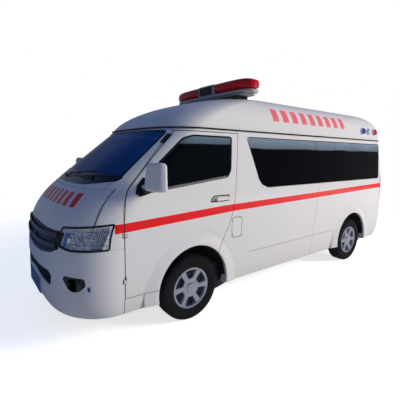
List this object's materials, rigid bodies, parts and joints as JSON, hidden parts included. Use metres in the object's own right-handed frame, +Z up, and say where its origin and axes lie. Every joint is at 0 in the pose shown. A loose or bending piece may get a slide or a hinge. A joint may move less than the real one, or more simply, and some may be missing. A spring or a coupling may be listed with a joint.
{
  "type": "ambulance van",
  "caption": "High-roof van with a roof light bar, a hollow cab and load space, opening front doors, bonnet, tailgate and fuel flap, steered front wheels and four turning wheels",
  "frame": {"origin": "centre of the bounding box's bottom, on the ground under the middle of the van", "axes": "X along the van with the nose towards -X, Y across it with the kerb-to-road side seen in the picture towards -Y, Z up"},
  "size_m": [5.4817, 2.306, 2.5503],
  "materials": {
    "white_paint": "gloss",
    "dark_glass": "tinted",
    "screen_glass": "clear",
    "black_plastic": "grained",
    "lamp_lens": "clear",
    "red_lens": "red",
    "tyre_rubber": "black",
    "rim_silver": "painted silver",
    "steel": "bare",
    "dark_steel": "black paint",
    "cast": "cast",
    "seat_cloth": "woven",
    "trim_grey": "grained",
    "floor_vinyl": "sheet",
    "chromed": "polished",
    "mattress_blue": "vinyl"
  },
  "bodies": {
    "van_body": {"bench": "seat_cloth", "cab_seats": "seat_cloth", "cab_sills": "white_paint", "chassis_rails": "dark_steel", "dashboard": "black_plastic", "engine": "cast", "exhaust": "steel", "floor": "floor_vinyl", "front_bumper": "white_paint", "front_suspension": "dark_steel", "front_wings": "white_paint", "fuel_tank": "dark_steel", "grille": "black_plastic", "gutter_strip": "black_plastic", "headlamps": "lamp_lens", "light_bar": "trim_grey", "light_bar_lenses": "red_lens", "mattress": "mattress_blue", "radiator": "dark_steel", "rear_axle": "cast", "rear_bumper": "white_paint", "roof": "white_paint", "roof_lamps": "lamp_lens", "side_glass": "dark_glass", "side_panel_left": "white_paint", "side_panel_right": "white_paint", "sliding_door": "white_paint", "steering_wheel": "black_plastic", "stretcher": "chromed", "tail_lamps": "red_lens", "wheelhouses": "black_plastic", "windscreen": "screen_glass", "windscreen_frame": "white_paint"},
    "door_left": {"door_left": "white_paint", "door_glass_left": "dark_glass", "mirror_left": "white_paint"},
    "door_right": {"door_right": "white_paint", "door_glass_right": "dark_glass", "mirror_right": "white_paint"},
    "bonnet": {"bonnet": "white_paint"},
    "tailgate": {"tailgate": "white_paint", "tailgate_glass": "dark_glass"},
    "fuel_flap": {"fuel_flap": "white_paint"},
    "knuckle_left": {"knuckle_left": "cast"},
    "knuckle_right": {"knuckle_right": "cast"},
    "wheel_front_left": {"tyre_front_left": "tyre_rubber", "rim_front_left": "rim_silver"},
    "wheel_front_right": {"tyre_front_right": "tyre_rubber", "rim_front_right": "rim_silver"},
    "wheel_rear_left": {"tyre_rear_left": "tyre_rubber", "rim_rear_left": "rim_silver"},
    "wheel_rear_right": {"tyre_rear_right": "tyre_rubber", "rim_rear_right": "rim_silver"}
  },
  "joints": [
    {"name": "door_left_swing", "type": "hinge", "parent": "van_body", "child": "door_left", "pos_m": [-2.191, -0.905, 0.8], "axis": [0, 0.03, 0.9996], "range_deg": [-68, 0]},
    {"name": "door_right_swing", "type": "hinge", "parent": "van_body", "child": "door_right", "pos_m": [-2.191, 0.905, 0.8], "axis": [0, -0.03, 0.9996], "range_deg": [0, 68]},
    {"name": "bonnet_lift", "type": "hinge", "parent": "van_body", "child": "bonnet", "pos_m": [-2.225, 0, 1.39], "axis": [0, 1, 0], "range_deg": [0, 50]},
    {"name": "tailgate_lift", "type": "hinge", "parent": "van_body", "child": "tailgate", "pos_m": [2.626, 0, 1.878], "axis": [0, -1, 0], "range_deg": [0, 85]},
    {"name": "fuel_flap_swing", "type": "hinge", "parent": "van_body", "child": "fuel_flap", "pos_m": [-0.9697, -0.905, 0.885], "axis": [0, 0, -1], "range_deg": [0, 95]},
    {"name": "steer_left", "type": "hinge", "parent": "van_body", "child": "knuckle_left", "pos_m": [-1.49, -0.655, 0.334], "axis": [0, 0, 1], "range_deg": [-33, 33]},
    {"name": "steer_right", "type": "hinge", "parent": "van_body", "child": "knuckle_right", "pos_m": [-1.49, 0.655, 0.334], "axis": [0, 0, 1], "range_deg": [-33, 33]},
    {"name": "spin_front_left", "type": "hinge", "parent": "knuckle_left", "child": "wheel_front_left", "pos_m": [-1.49, -0.8, 0.334], "axis": [0, 1, 0], "continuous": true},
    {"name": "spin_front_right", "type": "hinge", "parent": "knuckle_right", "child": "wheel_front_right", "pos_m": [-1.49, 0.8, 0.334], "axis": [0, 1, 0], "continuous": true},
    {"name": "spin_rear_left", "type": "hinge", "parent": "van_body", "child": "wheel_rear_left", "pos_m": [1.62, -0.8, 0.334], "axis": [0, 1, 0], "continuous": true},
    {"name": "spin_rear_right", "type": "hinge", "parent": "van_body", "child": "wheel_rear_right", "pos_m": [1.62, 0.8, 0.334], "axis": [0, 1, 0], "continuous": true}
  ],
  "couplings": [
    {"joint": "steer_right", "follows": "steer_left", "ratio": 1}
  ]
}
